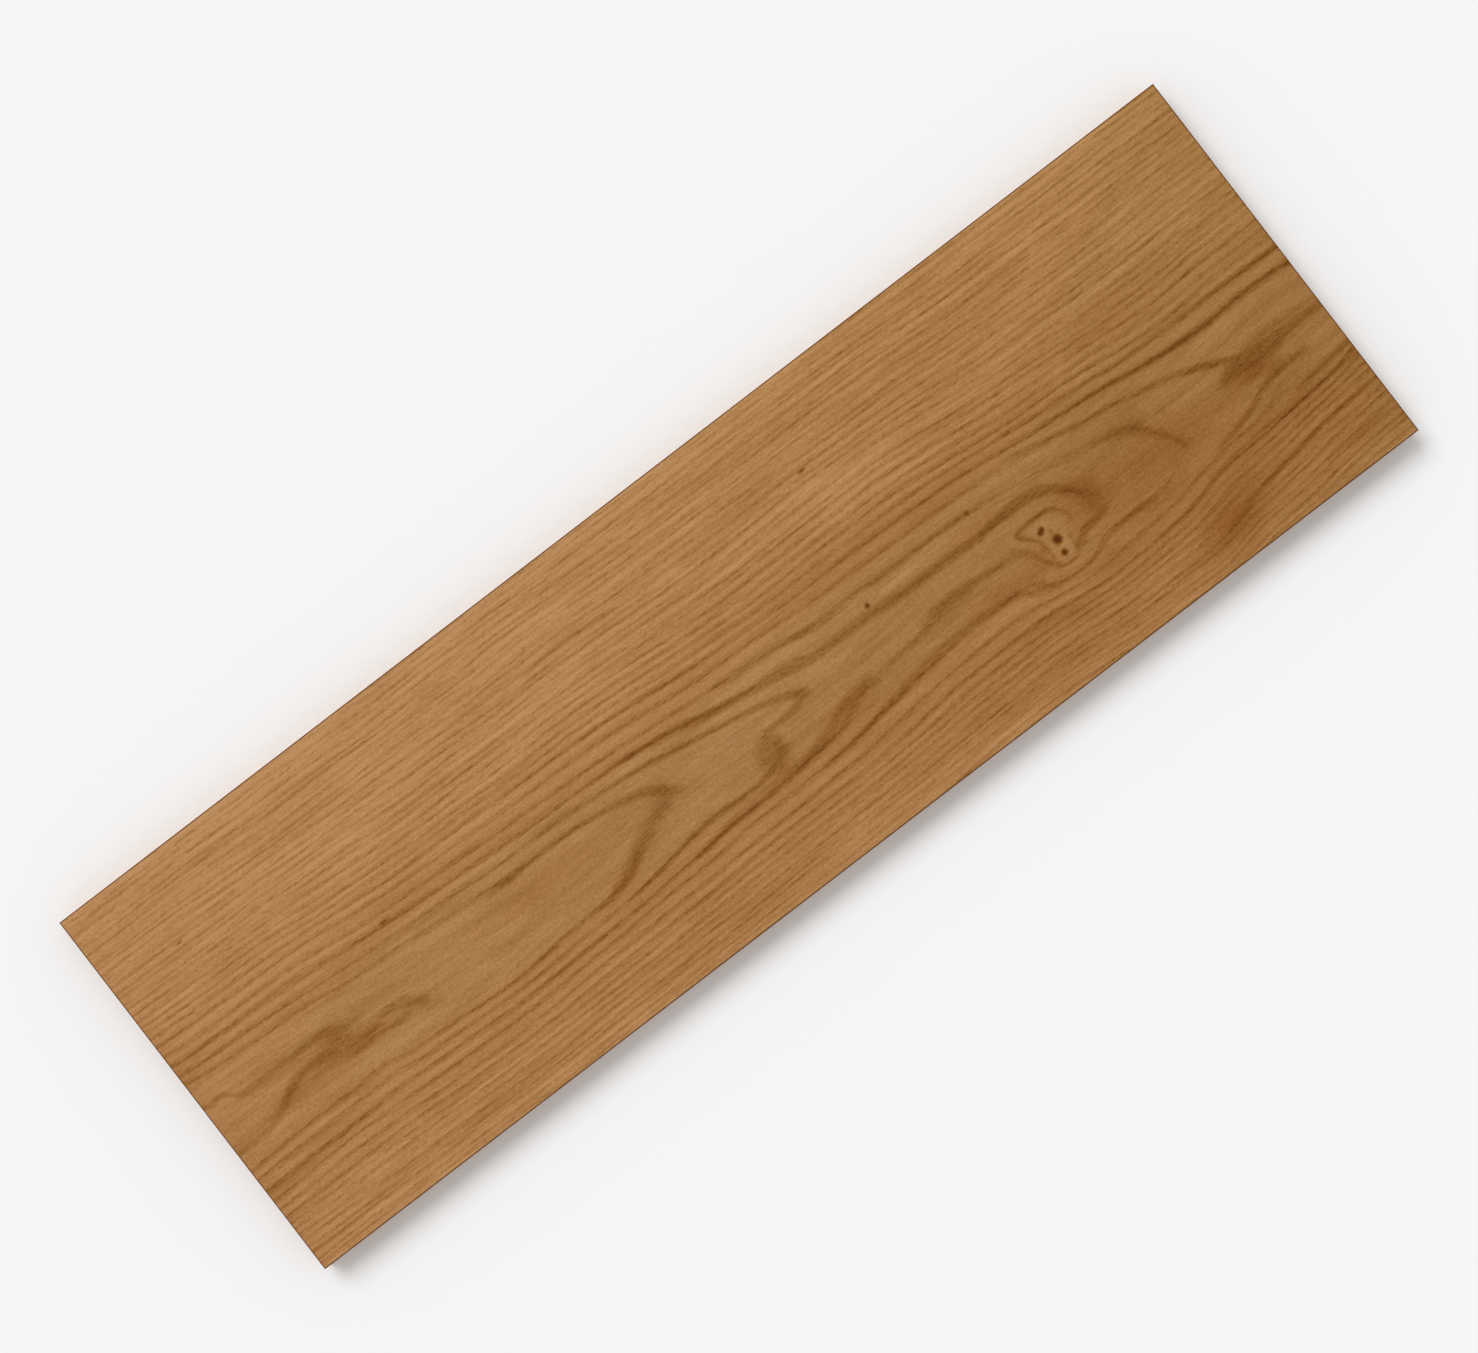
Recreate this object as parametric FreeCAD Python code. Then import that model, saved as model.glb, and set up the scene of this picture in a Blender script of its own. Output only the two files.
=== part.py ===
"""Solid oak parquet block for a herringbone floor, milled from one piece of stock.

The block lies face up, with its length along X, its width along Y and its underside on Z = 0.
All four edges carry one milled profile. A fine bevel runs along the face, the face cheek butts
against the next block, a groove below it takes a loose tongue, and the lower cheek is set back
so that the faces close first.
"""

import FreeCAD, Part
import os

# Size of the block, in millimetres
LENGTH = 600.0
WIDTH = 190.0
THICKNESS = 15.0

# Edge profile, the same on the long edges and on the ends
FACE_BEVEL = 0.6
FACE_CHEEK = 5.5
GROOVE_HEIGHT = 5.0
GROOVE_DEPTH = 5.5
LOWER_CHEEK_SETBACK = 0.5
GROOVE_MOUTH_EASE = 0.4

# Heights that follow from the profile
GROOVE_TOP = THICKNESS - FACE_CHEEK
GROOVE_BOTTOM = GROOVE_TOP - GROOVE_HEIGHT

X_AXIS = FreeCAD.Vector(1, 0, 0)
Y_AXIS = FreeCAD.Vector(0, 1, 0)
Z_AXIS = FreeCAD.Vector(0, 0, 1)


def milled_edge(half_span):
    """One edge from the underside up to the face, as (distance from the middle, height)."""
    butt = half_span
    lower_cheek = half_span - LOWER_CHEEK_SETBACK
    groove_floor = half_span - GROOVE_DEPTH
    return [
        (lower_cheek, 0.0),
        (lower_cheek, GROOVE_BOTTOM - GROOVE_MOUTH_EASE),
        (lower_cheek - GROOVE_MOUTH_EASE, GROOVE_BOTTOM),
        (groove_floor, GROOVE_BOTTOM),
        (groove_floor, GROOVE_TOP),
        (butt - GROOVE_MOUTH_EASE, GROOVE_TOP),
        (butt, GROOVE_TOP + GROOVE_MOUTH_EASE),
        (butt, THICKNESS - FACE_BEVEL),
        (butt - FACE_BEVEL, THICKNESS),
    ]


def milled_stock(span, across, run, along):
    """Stock with both of its edges milled, `span` wide, running past the other two edges."""
    near_edge = milled_edge(span / 2)
    far_edge = [(-distance, height) for distance, height in reversed(near_edge)]
    overrun = GROOVE_DEPTH
    start = along * -(run / 2 + overrun)
    corners = [start + across * distance + Z_AXIS * height for distance, height in near_edge + far_edge]
    section = Part.Face(Part.makePolygon(corners + corners[:1]))
    return section.extrude(along * (run + 2 * overrun))


# The long edges are milled first, then the ends across them, so that the bevels meet in mitres
# and every groove runs out at the corners
long_edges = milled_stock(WIDTH, Y_AXIS, LENGTH, X_AXIS)
ends = milled_stock(LENGTH, X_AXIS, WIDTH, Y_AXIS)
parquet_block = long_edges.common(ends).Solids[0]

os.makedirs("parts", exist_ok=True)
parquet_block.exportStep("parts/parquet_block.step")
print("parquet_block", parquet_block.isValid(), parquet_block.Volume, parquet_block.BoundBox)
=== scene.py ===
"""Looks of one solid oak parquet block, lying face up and seen from straight above.

The block is the CAD node itself. Its oak is one solid texture in the block's own millimetres:
growth rings round a pith below the board, cut by the face, the edges and the ends alike.
"""

import functools
import math

import bpy
from mathutils import Matrix, Vector


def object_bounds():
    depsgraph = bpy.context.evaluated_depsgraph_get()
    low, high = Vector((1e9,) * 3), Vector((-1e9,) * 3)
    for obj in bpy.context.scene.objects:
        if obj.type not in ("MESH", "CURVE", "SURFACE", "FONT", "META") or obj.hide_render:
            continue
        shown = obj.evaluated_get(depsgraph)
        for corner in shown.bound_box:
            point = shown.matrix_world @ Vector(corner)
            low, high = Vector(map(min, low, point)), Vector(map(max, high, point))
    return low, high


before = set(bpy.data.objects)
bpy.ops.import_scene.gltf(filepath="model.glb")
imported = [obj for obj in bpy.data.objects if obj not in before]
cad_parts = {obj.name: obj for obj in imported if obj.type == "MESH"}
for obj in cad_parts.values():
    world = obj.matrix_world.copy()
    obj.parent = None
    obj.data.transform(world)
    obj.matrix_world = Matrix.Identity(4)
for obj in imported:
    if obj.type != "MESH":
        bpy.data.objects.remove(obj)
cad_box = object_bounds()

MM = 1000.0
BLOCK_LENGTH, BLOCK_WIDTH, BLOCK_THICKNESS = (MM * (high - low) for low, high in zip(*cad_box))


# Shader arithmetic

class Term:
    """A value in a shader tree: a socket times a factor, plus a shift. Arithmetic adds Math nodes."""

    def __init__(self, socket, factor=1.0, shift=0.0):
        self.socket = socket
        self.tree = socket.id_data
        self.factor = factor
        self.shift = shift

    def math(self, operation, *others):
        """A Math node that takes this term first."""
        node = self.tree.nodes.new("ShaderNodeMath")
        node.operation = operation
        for slot, value in zip(node.inputs, (self, *others)):
            feed(slot, value)
        return Term(node.outputs[0])

    def __add__(self, other):
        if not isinstance(other, Term):
            return Term(self.socket, self.factor, self.shift + other)
        total = Term(self.socket).math("MULTIPLY_ADD", self.factor / other.factor, Term(other.socket))
        return Term(total.socket, other.factor, self.shift + other.shift)

    def __mul__(self, other):
        if not isinstance(other, Term):
            return Term(self.socket, self.factor * other, self.shift * other)
        if self.shift == 0.0 and other.shift == 0.0:
            product = Term(self.socket).math("MULTIPLY", Term(other.socket))
            return Term(product.socket, self.factor * other.factor)
        return self.math("MULTIPLY", other)

    def __truediv__(self, other):
        return self.math("DIVIDE", other) if isinstance(other, Term) else self * (1.0 / other)

    def __sub__(self, other):
        return self + other * -1.0

    def __rsub__(self, other):
        return self * -1.0 + other


def feed(slot, value):
    """Links a Term to a node's input, or sets the input to a plain value."""
    if not isinstance(value, Term):
        slot.default_value = value
    elif value.factor == 1.0 and value.shift == 0.0:
        value.tree.links.new(value.socket, slot)
    else:
        feed(slot, Term(value.socket).math("MULTIPLY_ADD", value.factor, value.shift))


def squared(term):
    return term * term


def uneven(term, swing):
    """A factor about one that swings with the term."""
    return term * swing + 1.0


def smooth(term, start, end, height=1.0, ground=0.0):
    """The ground before start, the height after end, a smooth step between. The end may come first."""
    node = term.tree.nodes.new("ShaderNodeMapRange")
    node.interpolation_type = "SMOOTHSTEP"
    inputs = {"Value": term, "From Min": start, "From Max": end, "To Min": ground, "To Max": height}
    for name, value in inputs.items():
        feed(node.inputs[name], value)
    return Term(node.outputs["Result"])


# A band or blot has about 0.4 of its height at its stated reach, and ends at this many times the reach
FOOT = 1.75


def band(term, reach, height=1.0):
    """The height where the term is nought, falling off evenly to both sides."""
    return smooth(term.math("ABSOLUTE"), reach * FOOT, 0.0, height)


def mix(amount, first, second):
    """first where amount is 0, second where it is 1."""
    if not isinstance(first, Term) and not isinstance(second, Term):
        return amount * (second - first) + first
    node = amount.tree.nodes.new("ShaderNodeMix")
    for name, value in (("Factor", amount), ("A", first), ("B", second)):
        feed(node.inputs[name], value)
    return Term(node.outputs["Result"])


def curve(term, points, handles="AUTO_CLAMPED"):
    """A drawn curve through (input, output) points, level past both ends."""
    start, end = points[0][0], points[-1][0]
    low = min(0.0, *(output for _, output in points))
    high = max(1.0, *(output for _, output in points))
    node = term.tree.nodes.new("ShaderNodeFloatCurve")
    node.mapping.extend = "HORIZONTAL"
    drawn = node.mapping.curves[0].points
    while len(drawn) < len(points):
        drawn.new(0.5, 0.5)
    for spot, (value, output) in zip(drawn, points):
        spot.location = ((value - start) / (end - start), (output - low) / (high - low))
        spot.handle_type = handles
    node.mapping.update()
    feed(node.inputs["Value"], (term - start) / (end - start))
    return Term(node.outputs["Value"], high - low, low)


def vector_math(operation, *values):
    """A Vector Math node on vector sockets or plain vectors, the first of them a socket."""
    tree = values[0].id_data
    node = tree.nodes.new("ShaderNodeVectorMath")
    node.operation = operation
    for slot, value in zip(node.inputs, values):
        if isinstance(value, tuple):
            slot.default_value = value
        else:
            tree.links.new(value, slot)
    return node


def scaled(place, scale, shift=(0.0, 0.0, 0.0)):
    """A vector socket times a scale, plus a shift."""
    return vector_math("MULTIPLY_ADD", place, scale, shift).outputs["Vector"]


def point(along, across, depth):
    """Three terms as one vector socket."""
    node = along.tree.nodes.new("ShaderNodeCombineXYZ")
    for slot, value in zip(node.inputs, (along, across, depth)):
        feed(slot, value)
    return node.outputs[0]


def split(place):
    """The three parts of a vector socket as terms."""
    node = place.id_data.nodes.new("ShaderNodeSeparateXYZ")
    place.id_data.links.new(place, node.inputs[0])
    return [Term(part) for part in node.outputs]


# A noise node gives 0 to 1, mostly near the middle, which is spread over this span about nought
NOISE_SPAN = 3.6
NOISE_ROUGHNESS = 0.55
# Each further seed takes its noise from a place this many grains away
SEED_STEP = (13.7, 7.3, 5.1)


def noise(place, length, width, seed, detail):
    """Signed noise, mostly within -1 to 1, drawn out along the grain: grains of length x width."""
    node = place.id_data.nodes.new("ShaderNodeTexNoise")
    node.inputs["Scale"].default_value = 1.0
    node.inputs["Detail"].default_value = detail
    node.inputs["Roughness"].default_value = NOISE_ROUGHNESS
    shift = tuple(step * seed for step in SEED_STEP)
    grains = scaled(place, (1.0 / length, 1.0 / width, 1.0 / width), shift)
    place.id_data.links.new(grains, node.inputs["Vector"])
    return Term(node.outputs["Fac"], NOISE_SPAN, -NOISE_SPAN / 2)


@functools.cache
def drawn_in(place, stretch):
    """A place on the face with its length along the grain divided by the stretch."""
    return scaled(place, (1.0 / stretch, 1.0, 0.0))


def blots(place, spots):
    """Soft blots as (x, y, reach, stretch along the grain, height), each painted over those before it."""
    total = 0.0
    for x, y, reach, stretch, height in spots:
        centre = (x / stretch, y, 0.0)
        away = Term(vector_math("DISTANCE", drawn_in(place, stretch), centre).outputs["Value"])
        total = smooth(away, reach * FOOT, 0.0, height, total)
    return total


# Grain. All places are in millimetres from the end and the edge that lie to the left and on top
# when the block is seen with its length from left to right.

# Line where the saw came nearest to the pith, and how the whole figure wanders sideways along the block,
# less and less with the distance from the figure's middle
CORE_LINE = 113.4
WANDER = [(0, 0), (65, 2), (105, 5), (150, 7), (245, 7.5), (318, 9.5), (400, 7), (474, 11), (516, 11),
          (570, 7), (600, 5)]
WANDER_MIDDLE = 117.0
WANDER_REACH = 70.0
# Knee of the rings near one edge: where it comes and goes along the block, where it sets in across
# the block, and how far it shifts the rings
KNEE_COMES = (400.0, 470.0)
KNEE_GOES = (496.0, 526.0)
KNEE_SETS_IN = (142.0, 158.0)
KNEE_SHIFT = 3.5
# Noises, as (length along the grain, width across it, seed, detail)
CLOUD = (80.0, 20.0, 1.0, 1.0)
FORK = (42.0, 4.5, 2.0, 1.0)
STREAK = (24.0, 1.2, 3.0, 2.0)
DASH = (15.0, 1.5, 4.0, 1.0)
FIBRE = (8.0, 0.4, 5.0, 1.0)
PORE = (3.2, 0.45, 6.0, 0.0)
SPECK = (1.3, 0.9, 7.0, 0.0)
THREAD = (90.0, 0.6, 8.0, 1.0)
# How far the clouds sway the grain sideways
CLOUD_SWAY = 1.1
# Depths below the face: where the painted shade on the bevelled edge begins, where it ends and the bare
# milled wood begins, how soft both edges are, and over which depths the drawn smears give way to plain rings
BEVEL_SHADE_TOP = 0.02
FACE_BEVEL = 0.6
SOFT_EDGE = 0.1
BELOW_FACE = (0.8, 3.0)


def block_millimetres(tree):
    """Place in the block as a vector: along its length, across its width and below its face."""
    node = tree.nodes.new("ShaderNodeTexCoord")
    corner = (BLOCK_LENGTH / 2, BLOCK_WIDTH / 2, BLOCK_THICKNESS)
    return scaled(node.outputs["Object"], (MM, -MM, -MM), corner)


def grain_line(along, across):
    """Distance across the grain from the line where the saw came nearest to the pith."""
    far = (across - WANDER_MIDDLE) / WANDER_REACH
    knee = smooth(along, *KNEE_COMES) - smooth(along, *KNEE_GOES)
    wander = curve(along, WANDER) / (squared(far) + 1.0)
    return across - CORE_LINE - wander - knee * smooth(across, *KNEE_SETS_IN) * KNEE_SHIFT


class Wood:
    """Places in the block, the noises that follow its grain, and the figure that is drawn with them."""

    def __init__(self, tree):
        self.tree = tree
        self.place = block_millimetres(tree)
        self.along, self.across, self.depth = split(self.place)
        self.below = smooth(self.depth, *BELOW_FACE)
        self.bare = smooth(self.depth, FACE_BEVEL, FACE_BEVEL + SOFT_EDGE)
        # Painted shade: a dark line along the bevelled edge, as of a joint in shadow
        self.bevel = smooth(self.depth, BEVEL_SHADE_TOP, BEVEL_SHADE_TOP + SOFT_EDGE) - self.bare
        self.cloud = noise(self.place, *CLOUD)
        self.aside = grain_line(self.along, self.across + self.cloud * CLOUD_SWAY)
        grain = point(self.along, self.aside, self.depth)
        self.fork = noise(grain, *FORK)
        self.streak = noise(grain, *STREAK)
        self.dash = noise(grain, *DASH)
        self.fibre = noise(grain, *FIBRE)
        self.pore = noise(self.place, *PORE)
        self.speck = noise(self.place, *SPECK)
        self.lines, self.thread, self.dense = ring_lines(self)
        self.smears = pore_smears(self)
        self.outline, self.inside = islet(self)
        self.knots = smooth(blots(self.place, KNOTS), *KNOT_EDGE)
        self.red = blots(self.place, RED_PATCHES) * uneven(self.fork, RED_SWING)


# Growth rings. The pith sinks away along the block, so the face cuts the rings in arches.

# Depth of the pith below the face at the left end, the square of its further sinking along the block,
# which sets how far each arch reaches, and the calmer sinking out of reach of the core line
PITH_DEPTH = 100.0
SINKING = [(0, 0), (12, 85), (30, 145), (44, 174), (60, 180), (68, 198), (78, 206), (92, 198), (106, 206),
           (150, 225), (165, 270), (205, 394), (225, 520), (243, 576), (256, 650), (300, 765), (318, 830),
           (345, 1045), (400, 1105), (430, 1085), (450, 1020), (461, 1085), (470, 1158), (493, 1250),
           (513, 1500), (545, 1800), (570, 1962), (600, 2010)]
SINKING_FAR = [(0, 0), (100, 170), (200, 400), (300, 680), (400, 990), (500, 1420), (600, 1960)]
SINKING_REACH = 32.0
# Further sideways wander of the innermost arches, and how far from the core line it reaches
CORE_WANDER = [(0, 0), (62, -3.4), (76, -1), (95, 3), (150, 2), (205, -2.5), (225, -5.5), (245, -6.5),
               (318, -5), (400, -2), (450, 0), (474, 4), (516, 8), (560, 10), (600, 8)]
CORE_REACH = 17.0
# Local swellings of the rings, as (x, y, reach, stretch, squared millimetres)
SWELLINGS = [(205, 140, 8, 5, -115), (275, 135, 8, 2.5, -170), (134, 119, 9, 2.5, 75),
             (165, 107, 3, 2.5, 60), (298, 101, 6, 5.5, 175), (332, 103, 6, 4, 110), (145, 140, 5, 5, -80),
             (425, 128, 3, 5, 40), (442, 147, 6, 3, -330), (580, 147, 8, 4, -220), (574, 90, 10, 4, -130)]
# How far the noises shift a ring, in millimetres
FORK_WAVER = 0.12
STREAK_WAVER = 0.045

# Distance of each growth ring from the core line, read across the left end, and how dark its line is
RINGS = [(14, 0.9), (24, 0.8), (28.75, 0.8), (34, 0.95), (38.75, 0.75), (44, 0.75), (48.5, 0.8),
         (52, 0.65), (55, 0.7), (58, 0.6)]
# The outer rings go on in nearly even steps, with these shifts and darknesses in turn
OUTER_START = 61.4
OUTER_STEP = 3.08
OUTER_COUNT = 21
OUTER_TURNS = [(0.0, 0.75), (0.5, 0.65), (-0.3, 0.7), (0.4, 0.55), (-0.4, 0.6), (0.2, 0.75), (-0.5, 0.6)]
for k in range(OUTER_COUNT):
    shift, dark = OUTER_TURNS[k % len(OUTER_TURNS)]
    RINGS.append((OUTER_START + OUTER_STEP * k + shift, dark))
# The inner rings stay below the face, and the innermost lies this much nearer to the pith than the face
INNER_START = 16.0
INNER_STEP = 1.9
INNER_COUNT = 9
INNER_DARK = 0.6

# All rings by number, outwards, with the first in the list above as number 0: their radii and darknesses
RING_RADII = [(k - INNER_COUNT, PITH_DEPTH - INNER_START + INNER_STEP * k) for k in range(INNER_COUNT)]
RING_RADII += [(k, math.hypot(PITH_DEPTH, reach)) for k, (reach, _) in enumerate(RINGS)]
RING_DARKS = [(-INNER_COUNT, INNER_DARK), (-1, INNER_DARK)]
RING_DARKS += [(k, dark) for k, (_, dark) in enumerate(RINGS)]

# Distances from the core line over which the rings come to lie densely
DENSE = (34.0, 62.0)
# Reach of a ring's line towards the pith and away from it, reach of the soft shade round the line, and
# how dark that is. Pairs are the value near the core and the value among the dense rings.
LINE_INWARD = (0.65, 0.55)
LINE_OUTWARD = (1.4, 1.1)
SHADE_INWARD = 1.2
SHADE_OUTWARD = 3.0
SHADE_DARK = (0.14, 0.0)
# How the dashes and the threads break up a line, and how much of it stays in the mean, in such pairs
DASH_BREAKS = (0.3, 0.6)
THREAD_BREAKS = 0.4
LINE_STAYS = (0.95, 0.85)
# Width of the faintest line and of the darkest one as factors, and how much the forks swing them
BOLDNESS = (0.5, 1.2)
BOLDNESS_SWING = 0.35
# A ring counts as cut no flatter than this, so that its line stays narrow
LEAST_SLANT = 0.10
# Distances from the core line over which the lines come to full strength, and their strength nearer to it,
# where the drawn smears take over
CORE_FADE = (6.0, 24.0)
CORE_STRENGTH = 0.2
# Where the lines are faint, or bold if the amount is below nought, as (x, y, reach, stretch, amount)
QUIET = [(300, 66, 14, 20, -0.16), (8, 125, 3, 4, 0.9), (10, 100.5, 3, 4, 0.9), (545, 104, 7, 4, 0.4),
         (505, 107, 9, 4, 0.7), (462, 99, 7, 5, 0.5), (520, 164, 14, 1.5, 0.6), (488, 154, 5, 5, 0.6),
         (461, 145, 3, 2.5, 0.5), (362, 129, 3, 6, 0.6), (402, 140, 2.5, 8, 0.6), (443, 148.5, 2, 6, 0.4)]


def core_shift(along, aside):
    """Distance from the core line after the wander of the innermost arches."""
    wander = curve(along, CORE_WANDER)
    return aside - wander * band(aside - wander, CORE_REACH)


def ring_radius(wood, aside):
    """Distance from the pith, with the swellings and the waver of the rings."""
    sinking = mix(band(aside, SINKING_REACH), curve(wood.along, SINKING_FAR), curve(wood.along, SINKING))
    sinking = sinking + blots(wood.place, SWELLINGS)
    pith = (sinking + PITH_DEPTH ** 2).math("SQRT") - wood.depth
    radius = (squared(pith) + squared(aside)).math("SQRT")
    return radius + wood.fork * FORK_WAVER + wood.streak * STREAK_WAVER


def ring_lines(wood):
    """Darkness of the open pores that begin each ring, the threads in them, and how densely rings lie."""
    aside = core_shift(wood.along, wood.aside)
    radius = ring_radius(wood, aside)
    count = curve(radius, [(line, number) for number, line in RING_RADII], "VECTOR")
    ring = (count + 0.5).math("FLOOR")
    strength = curve(ring, RING_DARKS, "VECTOR")
    aside = aside.math("ABSOLUTE")
    slant = (aside / radius).math("MAXIMUM", LEAST_SLANT)
    off = (radius - curve(ring, RING_RADII, "VECTOR")) / slant
    outward = off.math("GREATER_THAN", 0.0)
    dense = smooth(aside, *DENSE)
    thread = noise(point(wood.along, radius, 0.0), *THREAD)
    boldness = uneven(wood.fork, BOLDNESS_SWING) * mix(strength, *BOLDNESS)
    line = band(off, mix(outward, mix(dense, *LINE_INWARD), mix(dense, *LINE_OUTWARD)) * boldness)
    shade = band(off, mix(outward, SHADE_INWARD, SHADE_OUTWARD)) * mix(dense, *SHADE_DARK)
    broken = wood.dash * mix(dense, *DASH_BREAKS) + thread * THREAD_BREAKS + mix(dense, *LINE_STAYS)
    full = smooth(aside, *CORE_FADE).math("MAXIMUM", wood.below)
    faint = (1.0 - blots(wood.place, QUIET)) * mix(full, CORE_STRENGTH, 1.0)
    return (line * broken.math("MAXIMUM", 0.0) + shade) * strength * faint, thread, dense


# Smears of pores at the tips of the arches, where the face cuts a ring at a grazing angle

# Smears along drawn paths: the path as (x, y), then half of the width and the darkness,
# each in even steps from the start to the end
STROKES = [
    ([(-9, 94), (5, 103.5), (9, 102.3), (15, 106.5), (20, 107.9), (45, 107.9), (60, 107.6), (68, 109.5)],
     (1.5, 1.5), (1.0, 0.75, 1.0)),
    ([(-9, 127.6), (17, 127.5), (24, 125.3), (30, 122.3), (36, 118.8), (44, 116.5), (52, 116.4), (62, 117)],
     (1.2, 2.2), (1.0, 0.75, 1.5)),
    ([(34, 121.5), (45, 120.8), (62, 120.5), (85, 120.3)], (1.2, 1.2), (0.2, 0.8)),
    ([(62, 122.5), (78, 123.8), (92, 124.3), (102, 121.5)], (1.7, 1.7), (0.7, 0.6)),
    ([(77, 116.8), (92, 117.3), (99, 118.7), (108, 123)], (1.5, 2.6), (0.5, 0.9)),
    ([(104, 127.5), (112, 127.8)], (0.9, 0.9), (0.5, 0.5)),
    ([(95, 137.6), (110, 138.4), (122, 139.8), (132, 140.9), (145, 141.3), (160, 140), (170, 138.4),
      (198, 138.3)],
     (1.1, 1.2), (0.2, 0.35)),
    ([(148, 102), (157, 104), (166, 104), (180, 103.5), (198, 103.8), (215, 105.6), (226, 107.3),
      (236, 109.8), (242, 113), (250, 118)],
     (1.3, 1.2, 1.3, 2.2), (0.5, 0.7, 0.95, 1.0)),
    ([(188, 138.6), (196, 138.4), (202, 136.3), (208, 134), (220, 128), (232, 122.5), (246, 117.5)],
     (1.8, 2.7, 3.4, 2.8), (0.75, 0.85, 1.0, 0.7)),
    ([(178, 95.3), (200, 96), (220, 97.8), (235, 100), (256, 103), (285, 108.3), (300, 111.5),
      (313, 115), (320, 118)],
     (1.2, 1.2, 1.2, 1.2, 1.6), (0.4, 0.6, 0.8, 1.3, 1.3)),
    ([(282, 127.8), (290, 126), (296, 122), (304, 121.6), (312, 120.8), (319, 117.5)],
     (1.5, 1.4), (1.0, 1.3, 1.1)),
    ([(200, 143.3), (212, 142.2), (222, 141.2), (231, 139.8), (240, 138.2), (252, 137.9), (262, 137.2),
      (272, 137), (284, 136.3), (292, 134.8)],
     (1.2, 1.2), (0.35, 0.5, 0.35)),
    ([(232, 146.3), (250, 144.6), (265, 142.9), (288, 142.3), (300, 141.8), (310, 140.3), (318, 137.6),
      (326, 134.4), (334, 132), (347, 130.7)],
     (1.2, 2.6), (0.5, 0.95, 0.8)),
    ([(346, 130.5), (362, 130), (373, 128.9), (378, 127.6), (383, 125.5), (391, 124.9), (402, 124.5),
      (412, 125.1), (425, 126.2)],
     (1.4, 1.4, 2.0, 2.7, 1.4, 1.3), (0.45, 0.5, 0.85, 1.4, 0.8, 0.6)),
    ([(228, 92), (245, 94.3), (265, 97.3), (280, 100.3), (300, 103.5), (322, 107)], (1.4, 1.7), (0.9, 1.4)),
    ([(310, 105.3), (322, 106.8), (334, 108.1), (350, 107.9), (362, 108), (370, 109), (385, 109.7),
      (405, 109.8), (418, 110.6), (430, 109.6), (440, 108.6), (450, 109.4), (457, 112.5), (463, 117),
      (470, 124)],
     (1.9, 1.9, 2.1, 2.0, 2.1), (1.3, 1.0, 1.6, 1.8, 1.1)),
    ([(418, 125.5), (427, 126.2), (432, 129), (436, 134), (441, 142)], (2.4, 2.4), (0.5, 0.6)),
    ([(450, 139.5), (455, 138), (459, 136), (464, 135), (477, 133)], (2.0, 1.5), (1.5, 0.5)),
    ([(304, 149.2), (320, 148.2), (335, 146), (347, 144.2), (358, 142), (368, 140.2), (385, 139.2),
      (395, 138.9), (405, 139.4), (413, 140), (418, 140.7), (421, 143), (425, 146), (434, 148),
      (445, 148.7), (456, 147.6), (463, 145.4), (470, 144), (478, 142.7), (490, 143.6)],
     (1.8, 1.7, 1.8, 2.0, 1.5, 1.2, 1.3), (0.8, 0.8, 0.8, 0.9, 0.6, 0.25, 0.5)),
    ([(286, 92), (300, 94.2), (320, 95.2), (345, 97.2), (362, 96.9), (375, 98.6), (400, 98.3),
      (420, 98.6), (446, 98.9), (457, 101.5), (466, 103.5), (474, 106.2), (484, 108), (497, 111.5),
      (502, 115), (508, 121), (513, 126.5), (517, 133)],
     (1.2, 1.2, 1.2, 1.1, 1.1, 1.1, 1.6, 3.0), (0.65, 0.65, 0.6, 0.4, 0.3, 0.15, 0.25, 0.6)),
    ([(449, 91.2), (458, 92.6), (468, 94.8), (480, 97.3), (490, 98.8), (500, 100.2), (515, 103),
      (532, 107.3), (540, 110), (548, 113), (556, 117), (566, 119), (606, 120.3)],
     (1.3, 1.2, 1.2, 1.4, 1.6, 1.6, 1.7), (0.9, 0.6, 0.45, 0.8, 1.4, 1.4, 1.1)),
    ([(543, 122.4), (548, 121.3), (552, 120.8), (562, 121.8), (580, 121.5)], (2.0, 2.2), (1.5, 1.3, 1.0)),
    ([(518, 144.3), (530, 143), (540, 140.8), (550, 137.6), (560, 133.8), (568, 132.8), (584, 132.3)],
     (1.3, 1.3, 1.5, 1.9), (0.7, 1.0, 1.0, 1.0)),
    ([(450, 81.5), (470, 83.6), (484, 84.8), (500, 86), (515, 87.2), (540, 87.2), (560, 87.6), (606, 88.3)],
     (1.1, 1.2), (0.4, 0.7)),
    ([(465, 88), (484, 90.3), (500, 91.6), (510, 93.4), (530, 95.9), (545, 96.6), (560, 97.3),
      (574, 96.6), (606, 98)],
     (1.2, 1.7), (0.3, 0.7)),
    ([(566, 144.1), (580, 142.8), (606, 140.2)], (1.3, 1.3), (0.9, 0.9)),
    ([(474, 158), (498, 157.2), (508, 155.5), (517, 152.7), (530, 150), (548, 148.6), (570, 148.4),
      (606, 146.8)],
     (1.4, 1.3), (0.3, 0.6)),
    ([(505, 173), (530, 168.8), (545, 165.3), (560, 163.4), (575, 161.6), (606, 161)],
     (1.6, 1.3), (0.5, 0.6)),
]
# Strokes in one row keep this gap along the block. Each fades in over the fade, or a third of its length
# if that is less, and out over half as much, with a tail past both ends.
STROKE_GAP = 12.0
STROKE_FADE = 10.0
STROKE_TAIL = 3.0
# How far the noises fray a stroke along the fibres, and wave it across them
STROKE_FRAY = 0.6
STROKE_WAVE = 0.5
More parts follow.
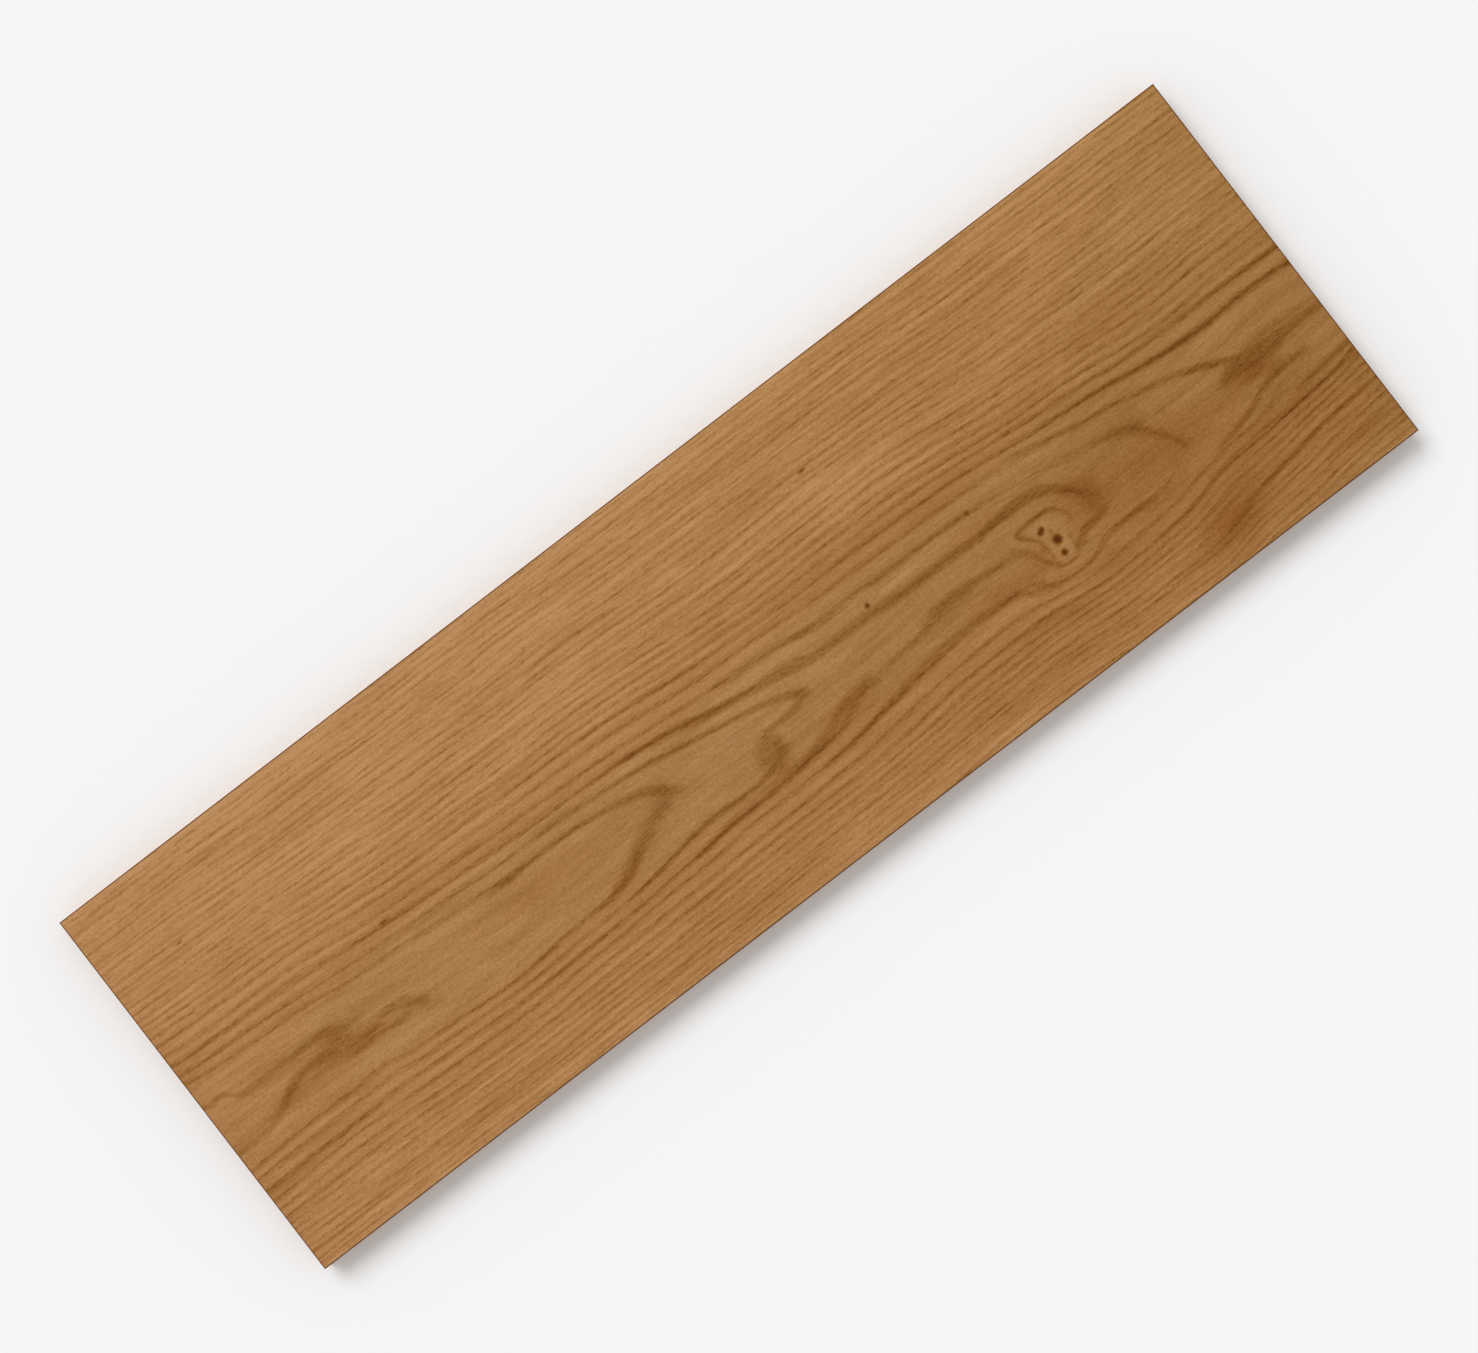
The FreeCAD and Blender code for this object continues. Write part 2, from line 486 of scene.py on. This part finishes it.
# Rounder smears, as (x, y, reach, stretch, darkness)
SMEARS = [(69, 119.5, 4, 2.5, 0.5), (64.5, 112, 4.5, 1.5, 0.75), (166, 104, 2.3, 3, 0.3),
          (241, 113.5, 4.5, 1, 0.5), (291, 131.3, 6.5, 1, 1.2), (293, 125, 4, 1, 1.4),
          (315.5, 117, 3, 1.5, 0.5), (336, 134.5, 3, 5, 0.3), (503, 114, 4, 1, 0.5),
          (549.5, 121.8, 2, 1.6, 0.6), (559, 122.5, 5.5, 2.2, 0.9), (574, 116, 2.6, 5, 0.45),
          (590, 117, 2, 5, 0.4), (558, 127.3, 1.2, 4.5, 1.0), (567, 128, 4, 1.2, 0.5),
          (463, 116.5, 4, 1, 0.4), (469, 124.5, 5.5, 1, 0.7), (446.5, 129.8, 1.6, 2.5, 0.6),
          (445, 118.6, 0.9, 5, 0.5), (416, 140.6, 1.7, 2.5, 0.6)]
SMEAR_SWING = 0.5
# Smears that lie over each other near full darkness at this rate
SMEAR_RATE = 1.3


def rows_of_strokes():
    """The strokes shared out over as few rows as keep them from meeting along the block."""
    rows = []
    for stroke in sorted(STROKES):
        start = stroke[0][0][0]
        free = [row for row in rows if row[-1][0][-1][0] + STROKE_GAP <= start]
        if free:
            free[0].append(stroke)
        else:
            rows.append([stroke])
    return rows


def in_steps(start, end, values):
    """Values as points of a drawn curve, in even steps from start to end."""
    step = (end - start) / (len(values) - 1)
    return [(start + step * k, value) for k, value in enumerate(values)]


def along_block(points):
    """Points of a drawn curve, carried on level to both ends of the block."""
    return [(-STROKE_GAP, points[0][1]), *points, (BLOCK_LENGTH + STROKE_GAP, points[-1][1])]


def strokes(wood):
    """The smears along drawn paths, frayed along the fibres."""
    frayed = wood.along + wood.streak * STROKE_FRAY + wood.dash * STROKE_FRAY
    wavy = wood.across + wood.fork * STROKE_WAVE
    total = 0.0
    for row in rows_of_strokes():
        paths, reaches, darks = [], [], []
        for path, half_widths, darknesses in row:
            start, end = path[0][0], path[-1][0]
            fade = min(STROKE_FADE, (end - start) / 3.0)
            paths += path
            reaches += in_steps(start, end, [half * FOOT for half in half_widths])
            darks.append((start - STROKE_TAIL, 0.0))
            darks += in_steps(start + fade, end - fade / 2.0, darknesses)
            darks.append((end + STROKE_TAIL, 0.0))
        middle, reach, dark = (curve(frayed, along_block(points)) for points in (paths, reaches, darks))
        total = smooth((wavy - middle).math("ABSOLUTE"), reach, 0.0, dark) + total
    return total


def pore_smears(wood):
    """Darkness of all smears together, which fade out below the face."""
    total = blots(wood.place, SMEARS) * uneven(wood.streak, SMEAR_SWING) + strokes(wood)
    total = total * (1.0 - wood.below)
    return 1.0 - (total * -SMEAR_RATE).math("EXPONENT")


# Knots and patches

# Knots, as (x, y, reach, stretch, darkness), and the darknesses at which a knot begins and is full
KNOTS = [(441.9, 125.4, 1.5, 1, 0.85), (443.3, 124.4, 1.5, 1, 0.85), (446.3, 132, 2.4, 1, 1.05),
         (445.4, 138.3, 1.7, 1, 0.95), (446, 127.6, 1.4, 1, 0.4), (363, 104.5, 1.5, 1, 0.8),
         (421.8, 99.0, 1.6, 1, 0.6), (376, 40.5, 1.0, 2.5, 0.65), (36, 38.6, 0.8, 2.5, 0.5),
         (112, 85.6, 1.0, 2.5, 0.62)]
KNOT_EDGE = (0.05, 1.1)
# Pale islet that holds the three large knots: its middle along the block and half of its length there,
# by the place across the block, then its middle and half of its width across the block
ISLET_MIDDLE = [(118, 443), (120, 443), (125, 446.2), (128, 447.3), (131, 446.3), (135, 446), (140, 445.6),
                (144, 445.3)]
ISLET_HALF = [(118, 10.5), (120, 10.5), (125, 9.8), (128, 8.2), (131, 6.2), (135, 5.4), (140, 5.4), (144, 5)]
ISLET_Y = 131.0
ISLET_HALF_WIDTH = 12.4
# How far the noises wave the islet's edge across the fibres, and fray it along them
ISLET_WAVE = 0.6
ISLET_FRAY = 0.5
# The islet is measured from 0 at its middle to 1 on its outline. In that measure the dark outline has
# a reach, and the pale inside ends over a stretch.
OUTLINE_REACH = 0.75
INSIDE_ENDS = (0.3, 1.3)
# Darkness of the outline by the place across the block, its swing, and the share of it that is left
# past a stretch along the block
OUTLINE_DARKS = [(117, 1.2), (121, 1.35), (126, 1.15), (131, 0.6), (139, 0.5), (143, 0.8)]
OUTLINE_SWING = 0.5
FAR_SIDE = (448.0, 456.0)
FAR_SIDE_LEFT = 0.5
# Broad patches that are darker and redder, as (x, y, reach, stretch, amount)
RED_PATCHES = [(50, 174, 10, 4, -0.35), (180, 114, 9, 6, 0.45), (60, 121, 6, 6, 0.4),
               (508, 130, 15, 2.4, 1.0), (570, 160, 22, 1.5, 0.4), (560, 124, 9, 2.5, 0.7),
               (34, 121.5, 4, 2, 1.4), (75, 120.5, 3, 4, 0.8), (60, 114, 6, 2, 0.4), (6, 115, 8, 1, 0.4),
               (434, 137, 7, 1, 1.0), (467, 126, 11, 1.1, 1.3), (420, 107, 4, 4, 0.5),
               (206, 135, 4, 2, 0.4), (328, 134, 5, 2.5, 0.5), (412, 135, 5, 3, 0.5),
               (503, 150, 7, 2.5, 0.7), (524, 163, 10, 2, 1.5), (512, 172, 10, 1.5, 2.0)]
RED_SWING = 0.3


def islet(wood):
    """Dark outline and pale inside of the islet round the three large knots."""
    across = wood.across + wood.fork * ISLET_WAVE
    along = wood.along + wood.streak * ISLET_FRAY
    over = (along - curve(across, ISLET_MIDDLE)) / curve(across, ISLET_HALF)
    down = (across - ISLET_Y) / ISLET_HALF_WIDTH
    edge = squared(squared(over)) + squared(squared(squared(down)))
    outline = band(edge - 1.0, OUTLINE_REACH) * uneven(wood.fork, OUTLINE_SWING)
    outline = outline * curve(across, OUTLINE_DARKS)
    outline = outline * mix(smooth(wood.along, *FAR_SIDE), 1.0, FAR_SIDE_LEFT)
    return outline, 1.0 - smooth(edge, *INSIDE_ENDS)


# Tone of the wood, from 0 at the darkest to 1 at the palest

# Level across the block, its fall along the block, where across the block a further fall sets in,
# and how much that is at the far end
LEVEL_ACROSS = [(0, 0.995), (8, 0.955), (15, 0.925), (57, 0.91), (95, 0.82), (133, 0.805), (170, 0.855),
                (177, 0.835), (183, 0.87), (190, 0.91)]
FALL_ALONG = [(0, 0.035), (16, 0.002), (370, 0.0555), (480, 0.097), (594, 0.114), (600, 0.15)]
FALL_SETS_IN = (80.0, 140.0)
FAR_FALL = 0.055
# How much each thing darkens the wood: a pair near the core and among the dense rings, or one value
LINE_FALL = (0.185, 0.19)
SMEAR_FALL = 0.245
OUTLINE_FALL = 0.22
RED_FALL = 0.085
END_GRAIN_FALL = 0.12
# Pores: how far a smear opens the wood, how many more pores open wood has, the noise at which a pore
# begins and is full, and how much it darkens plain wood and, on top of that, open wood
SMEAR_OPENS = 0.6
MORE_PORES = 0.7
PORE_EDGE = (0.45, 1.15)
PORE_FALL = 0.075
OPEN_PORE_FALL = 0.1
# How much each noise swings the tone, in such pairs or as one value
STREAK_TONE = (0.055, 0.085)
FIBRE_TONE = (0.04, 0.06)
FORK_TONE = 0.08
CLOUD_TONE = 0.045
THREAD_TONE = (0.02, 0.045)
SPECK_TONE = 0.06
# Tones of their own
ISLET_TONE = 0.79
KNOT_TONE = -0.05
# Tone of the painted shade along the bevelled edge
BEVEL_SHADE_TONE = 0.1
# How squarely a face looks along the block where end grain begins and is full
END_GRAIN = (0.8, 0.95)


def level(wood):
    """Tone of the plain wood."""
    far_fall = smooth(wood.across, *FALL_SETS_IN, FAR_FALL / BLOCK_LENGTH)
    return curve(wood.across, LEVEL_ACROSS) - curve(wood.along, FALL_ALONG) - wood.along * far_fall


def figured(wood, tone):
    """The tone with the rings, smears, islet, patches and pores."""
    open_wood = (wood.lines + wood.smears * SMEAR_OPENS).math("MINIMUM", 1.0)
    pores = smooth(wood.pore + open_wood * MORE_PORES, *PORE_EDGE)
    tone = mix(wood.inside, tone - wood.lines * mix(wood.dense, *LINE_FALL), ISLET_TONE)
    tone = tone - wood.smears * SMEAR_FALL - wood.outline * OUTLINE_FALL - wood.red * RED_FALL
    return tone - pores * (open_wood * OPEN_PORE_FALL + PORE_FALL)


def mottled(wood, tone):
    """The tone with the swing of all the noises."""
    tone = tone + wood.streak * mix(wood.dense, *STREAK_TONE) + wood.fibre * mix(wood.dense, *FIBRE_TONE)
    tone = tone + wood.fork * FORK_TONE + wood.cloud * CLOUD_TONE
    return tone + wood.thread * mix(wood.dense, *THREAD_TONE) + wood.speck * SPECK_TONE


def edge_shaded(wood, tone):
    """The tone with painted shade along the bevelled edge and the darker end grain."""
    endwise, _, _ = split(wood.tree.nodes.new("ShaderNodeTexCoord").outputs["Normal"])
    end_grain = smooth(endwise.math("ABSOLUTE"), *END_GRAIN)
    # Painted shade darkens the bevelled edge; the darker end grain is the wood's own colour
    return mix(wood.bevel, tone, BEVEL_SHADE_TONE) - end_grain * END_GRAIN_FALL


# Colour. Colours are display values from 0 to 255, and tints are factors.

# Colour of the wood by its tone
OAK_COLOURS = [(0.0, (91, 45, 8)), (0.3, (120.4, 75, 26.75)), (0.5, (140, 95, 47.05)),
               (0.75, (164.5, 120, 72.425)), (1.0, (189, 145, 97.8))]
# Light that the finish reflects, which is taken off the colours, and the darkest that is left of them
SHEEN = 0.0048
DARKEST = 0.001
# Warm tint: its amount along the block, less along the middle of the figure, more on the red patches
WARM_TINT = (1.08, 0.93, 0.92)
WARMTH = [(0, 0.46), (90, 0.26), (450, 0.22), (600, 0.08)]
COOLER_LINE = 116.0
COOLER_REACH = 24.0
COOLER_BY = 0.17
RED_WARMTH = 0.28
# Golden tint: where it comes along the block, where it grows across the block, and its least share there
GOLD_TINT = (1.0, 1.0, 0.92)
GOLD_COMES = (240.0, 420.0)
GOLD_ACROSS = (120.0, 20.0)
GOLD_LEAST = 0.3
# Colour of bare milled wood, and its share below the bevel
BARE_COLOUR = (205, 172, 130)
BARE_AMOUNT = 0.35


def linear(value):
    """A display value from 0 to 255 as linear light."""
    value /= 255.0
    return value / 12.92 if value <= 0.04045 else ((value + 0.055) / 1.055) ** 2.4


def ramp(tone):
    """Colour socket for a tone of the wood."""
    node = tone.tree.nodes.new("ShaderNodeValToRGB")
    stops = node.color_ramp.elements
    while len(stops) < len(OAK_COLOURS):
        stops.new(0.5)
    for stop, (position, colour) in zip(stops, OAK_COLOURS):
        stop.position = position
        stop.color = (*[max(linear(value) - SHEEN, DARKEST) for value in colour], 1.0)
    feed(node.inputs["Fac"], tone)
    return node.outputs["Color"]


def tinted(colour, amount, tint, blend):
    """A colour socket blended with a tint by an amount."""
    node = colour.id_data.nodes.new("ShaderNodeMix")
    node.data_type = "RGBA"
    node.blend_type = blend
    feed(node.inputs["Factor"], amount)
    colour.id_data.links.new(colour, node.inputs["A"])
    node.inputs["B"].default_value = (*tint, 1.0)
    return node.outputs["Result"]


def coloured(wood, tone):
    """Colour socket of the wood, with its warm and golden stretches and its bare edges."""
    warmth = curve(wood.along, WARMTH) - band(wood.across - COOLER_LINE, COOLER_REACH, COOLER_BY)
    warmth = (warmth + wood.red * RED_WARMTH).math("MAXIMUM", 0.0)
    gold = smooth(wood.along, *GOLD_COMES) * smooth(wood.across, *GOLD_ACROSS, 1.0, GOLD_LEAST)
    colour = tinted(ramp(tone), warmth, WARM_TINT, "MULTIPLY")
    colour = tinted(colour, gold, GOLD_TINT, "MULTIPLY")
    return tinted(colour, wood.bare * BARE_AMOUNT, [linear(value) for value in BARE_COLOUR], "MIX")


# Surface: a matt clear finish, rougher in the open lines and on bare wood, with fine hollow pores

SPECULAR = 0.08
ROUGHNESS = 0.5
LINE_ROUGHER = 0.15
BARE_ROUGHER = 0.25
BUMP_STRENGTH = 0.4
BUMP_DEPTH = 0.1 / MM
HOLLOW_EDGE = (1.0, 0.2)


def hollow_pores(wood):
    """Normal socket of a face with fine pores in it."""
    node = wood.tree.nodes.new("ShaderNodeBump")
    node.inputs["Strength"].default_value = BUMP_STRENGTH
    node.inputs["Distance"].default_value = BUMP_DEPTH
    feed(node.inputs["Height"], smooth(wood.pore, *HOLLOW_EDGE))
    return node.outputs["Normal"]


def oak():
    """Flat-sawn oak with a matt clear finish."""
    material = bpy.data.materials.new("oak")
    material.use_nodes = True
    tree = material.node_tree
    wood = Wood(tree)
    tone = mottled(wood, figured(wood, level(wood)))
    tone = edge_shaded(wood, mix(wood.knots, tone, KNOT_TONE))
    shader = tree.nodes["Principled BSDF"]
    tree.links.new(coloured(wood, tone), shader.inputs["Base Color"])
    shader.inputs["Specular IOR Level"].default_value = SPECULAR
    feed(shader.inputs["Roughness"], wood.lines * LINE_ROUGHER + wood.bare * BARE_ROUGHER + ROUGHNESS)
    tree.links.new(hollow_pores(wood), shader.inputs["Normal"])
    return material


# Floor, light and camera, in metres

FLOOR_REACH = 6.0
FLOOR_GREY = 0.93
FLOOR_ROUGHNESS = 0.9
SKY_STRENGTH = 0.6
KEY_STRENGTH = 1.55
KEY_SPREAD = math.radians(35)
KEY_DIRECTION = Vector((0.15, -0.75, -1.0))
# Lens and sensor in millimetres, the turn of the block in the picture, and its share of the picture's width
LENS, SENSOR = 100.0, 36.0
TURN_IN_PICTURE = math.radians(37.5)
FILL = 0.92


def placed(name, data):
    """A new object in the scene."""
    made = bpy.data.objects.new(name, data)
    bpy.context.scene.collection.objects.link(made)
    return made


def floor_paint():
    """Matt pale grey."""
    material = bpy.data.materials.new("floor")
    material.use_nodes = True
    shader = material.node_tree.nodes["Principled BSDF"]
    shader.inputs["Base Color"].default_value = (FLOOR_GREY, FLOOR_GREY, FLOOR_GREY, 1.0)
    shader.inputs["Roughness"].default_value = FLOOR_ROUGHNESS
    shader.inputs["Specular IOR Level"].default_value = 0.0
    return material


def floor():
    """A wide square under the block."""
    mesh = bpy.data.meshes.new("floor")
    corners = [(-1, -1), (1, -1), (1, 1), (-1, 1)]
    mesh.from_pydata([(x * FLOOR_REACH, y * FLOOR_REACH, 0.0) for x, y in corners], [], [(0, 1, 2, 3)])
    mesh.materials.append(floor_paint())
    return placed("floor", mesh)


def sky():
    """Even white light from all round."""
    world = bpy.data.worlds.new("studio")
    world.use_nodes = True
    background = world.node_tree.nodes["Background"]
    background.inputs["Strength"].default_value = SKY_STRENGTH
    background.inputs["Color"].default_value = (1.0, 1.0, 1.0, 1.0)
    bpy.context.scene.world = world


def key_light():
    """A broad lamp from above and from one long edge."""
    lamp = bpy.data.lights.new("key", "SUN")
    lamp.energy = KEY_STRENGTH
    lamp.angle = KEY_SPREAD
    placed("key", lamp).rotation_euler = KEY_DIRECTION.to_track_quat("-Z", "Y").to_euler()


def camera_above():
    """A camera that looks straight down on the block, turned so that its length lies aslant."""
    optics = bpy.data.cameras.new("camera")
    optics.lens = LENS
    optics.sensor_width = SENSOR
    camera = placed("camera", optics)
    size = cad_box[1] - cad_box[0]
    shown_width = size.x * math.cos(TURN_IN_PICTURE) + size.y * math.sin(TURN_IN_PICTURE)
    distance = shown_width / FILL * LENS / SENSOR + size.z
    camera.matrix_world = Matrix.Translation((0, 0, distance)) @ Matrix.Rotation(-TURN_IN_PICTURE, 4, "Z")
    bpy.context.scene.camera = camera


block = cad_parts["parquet_block"]
block.data.materials.clear()
block.data.materials.append(oak())
floor()
sky()
key_light()
camera_above()
bpy.context.scene.view_settings.view_transform = "Standard"
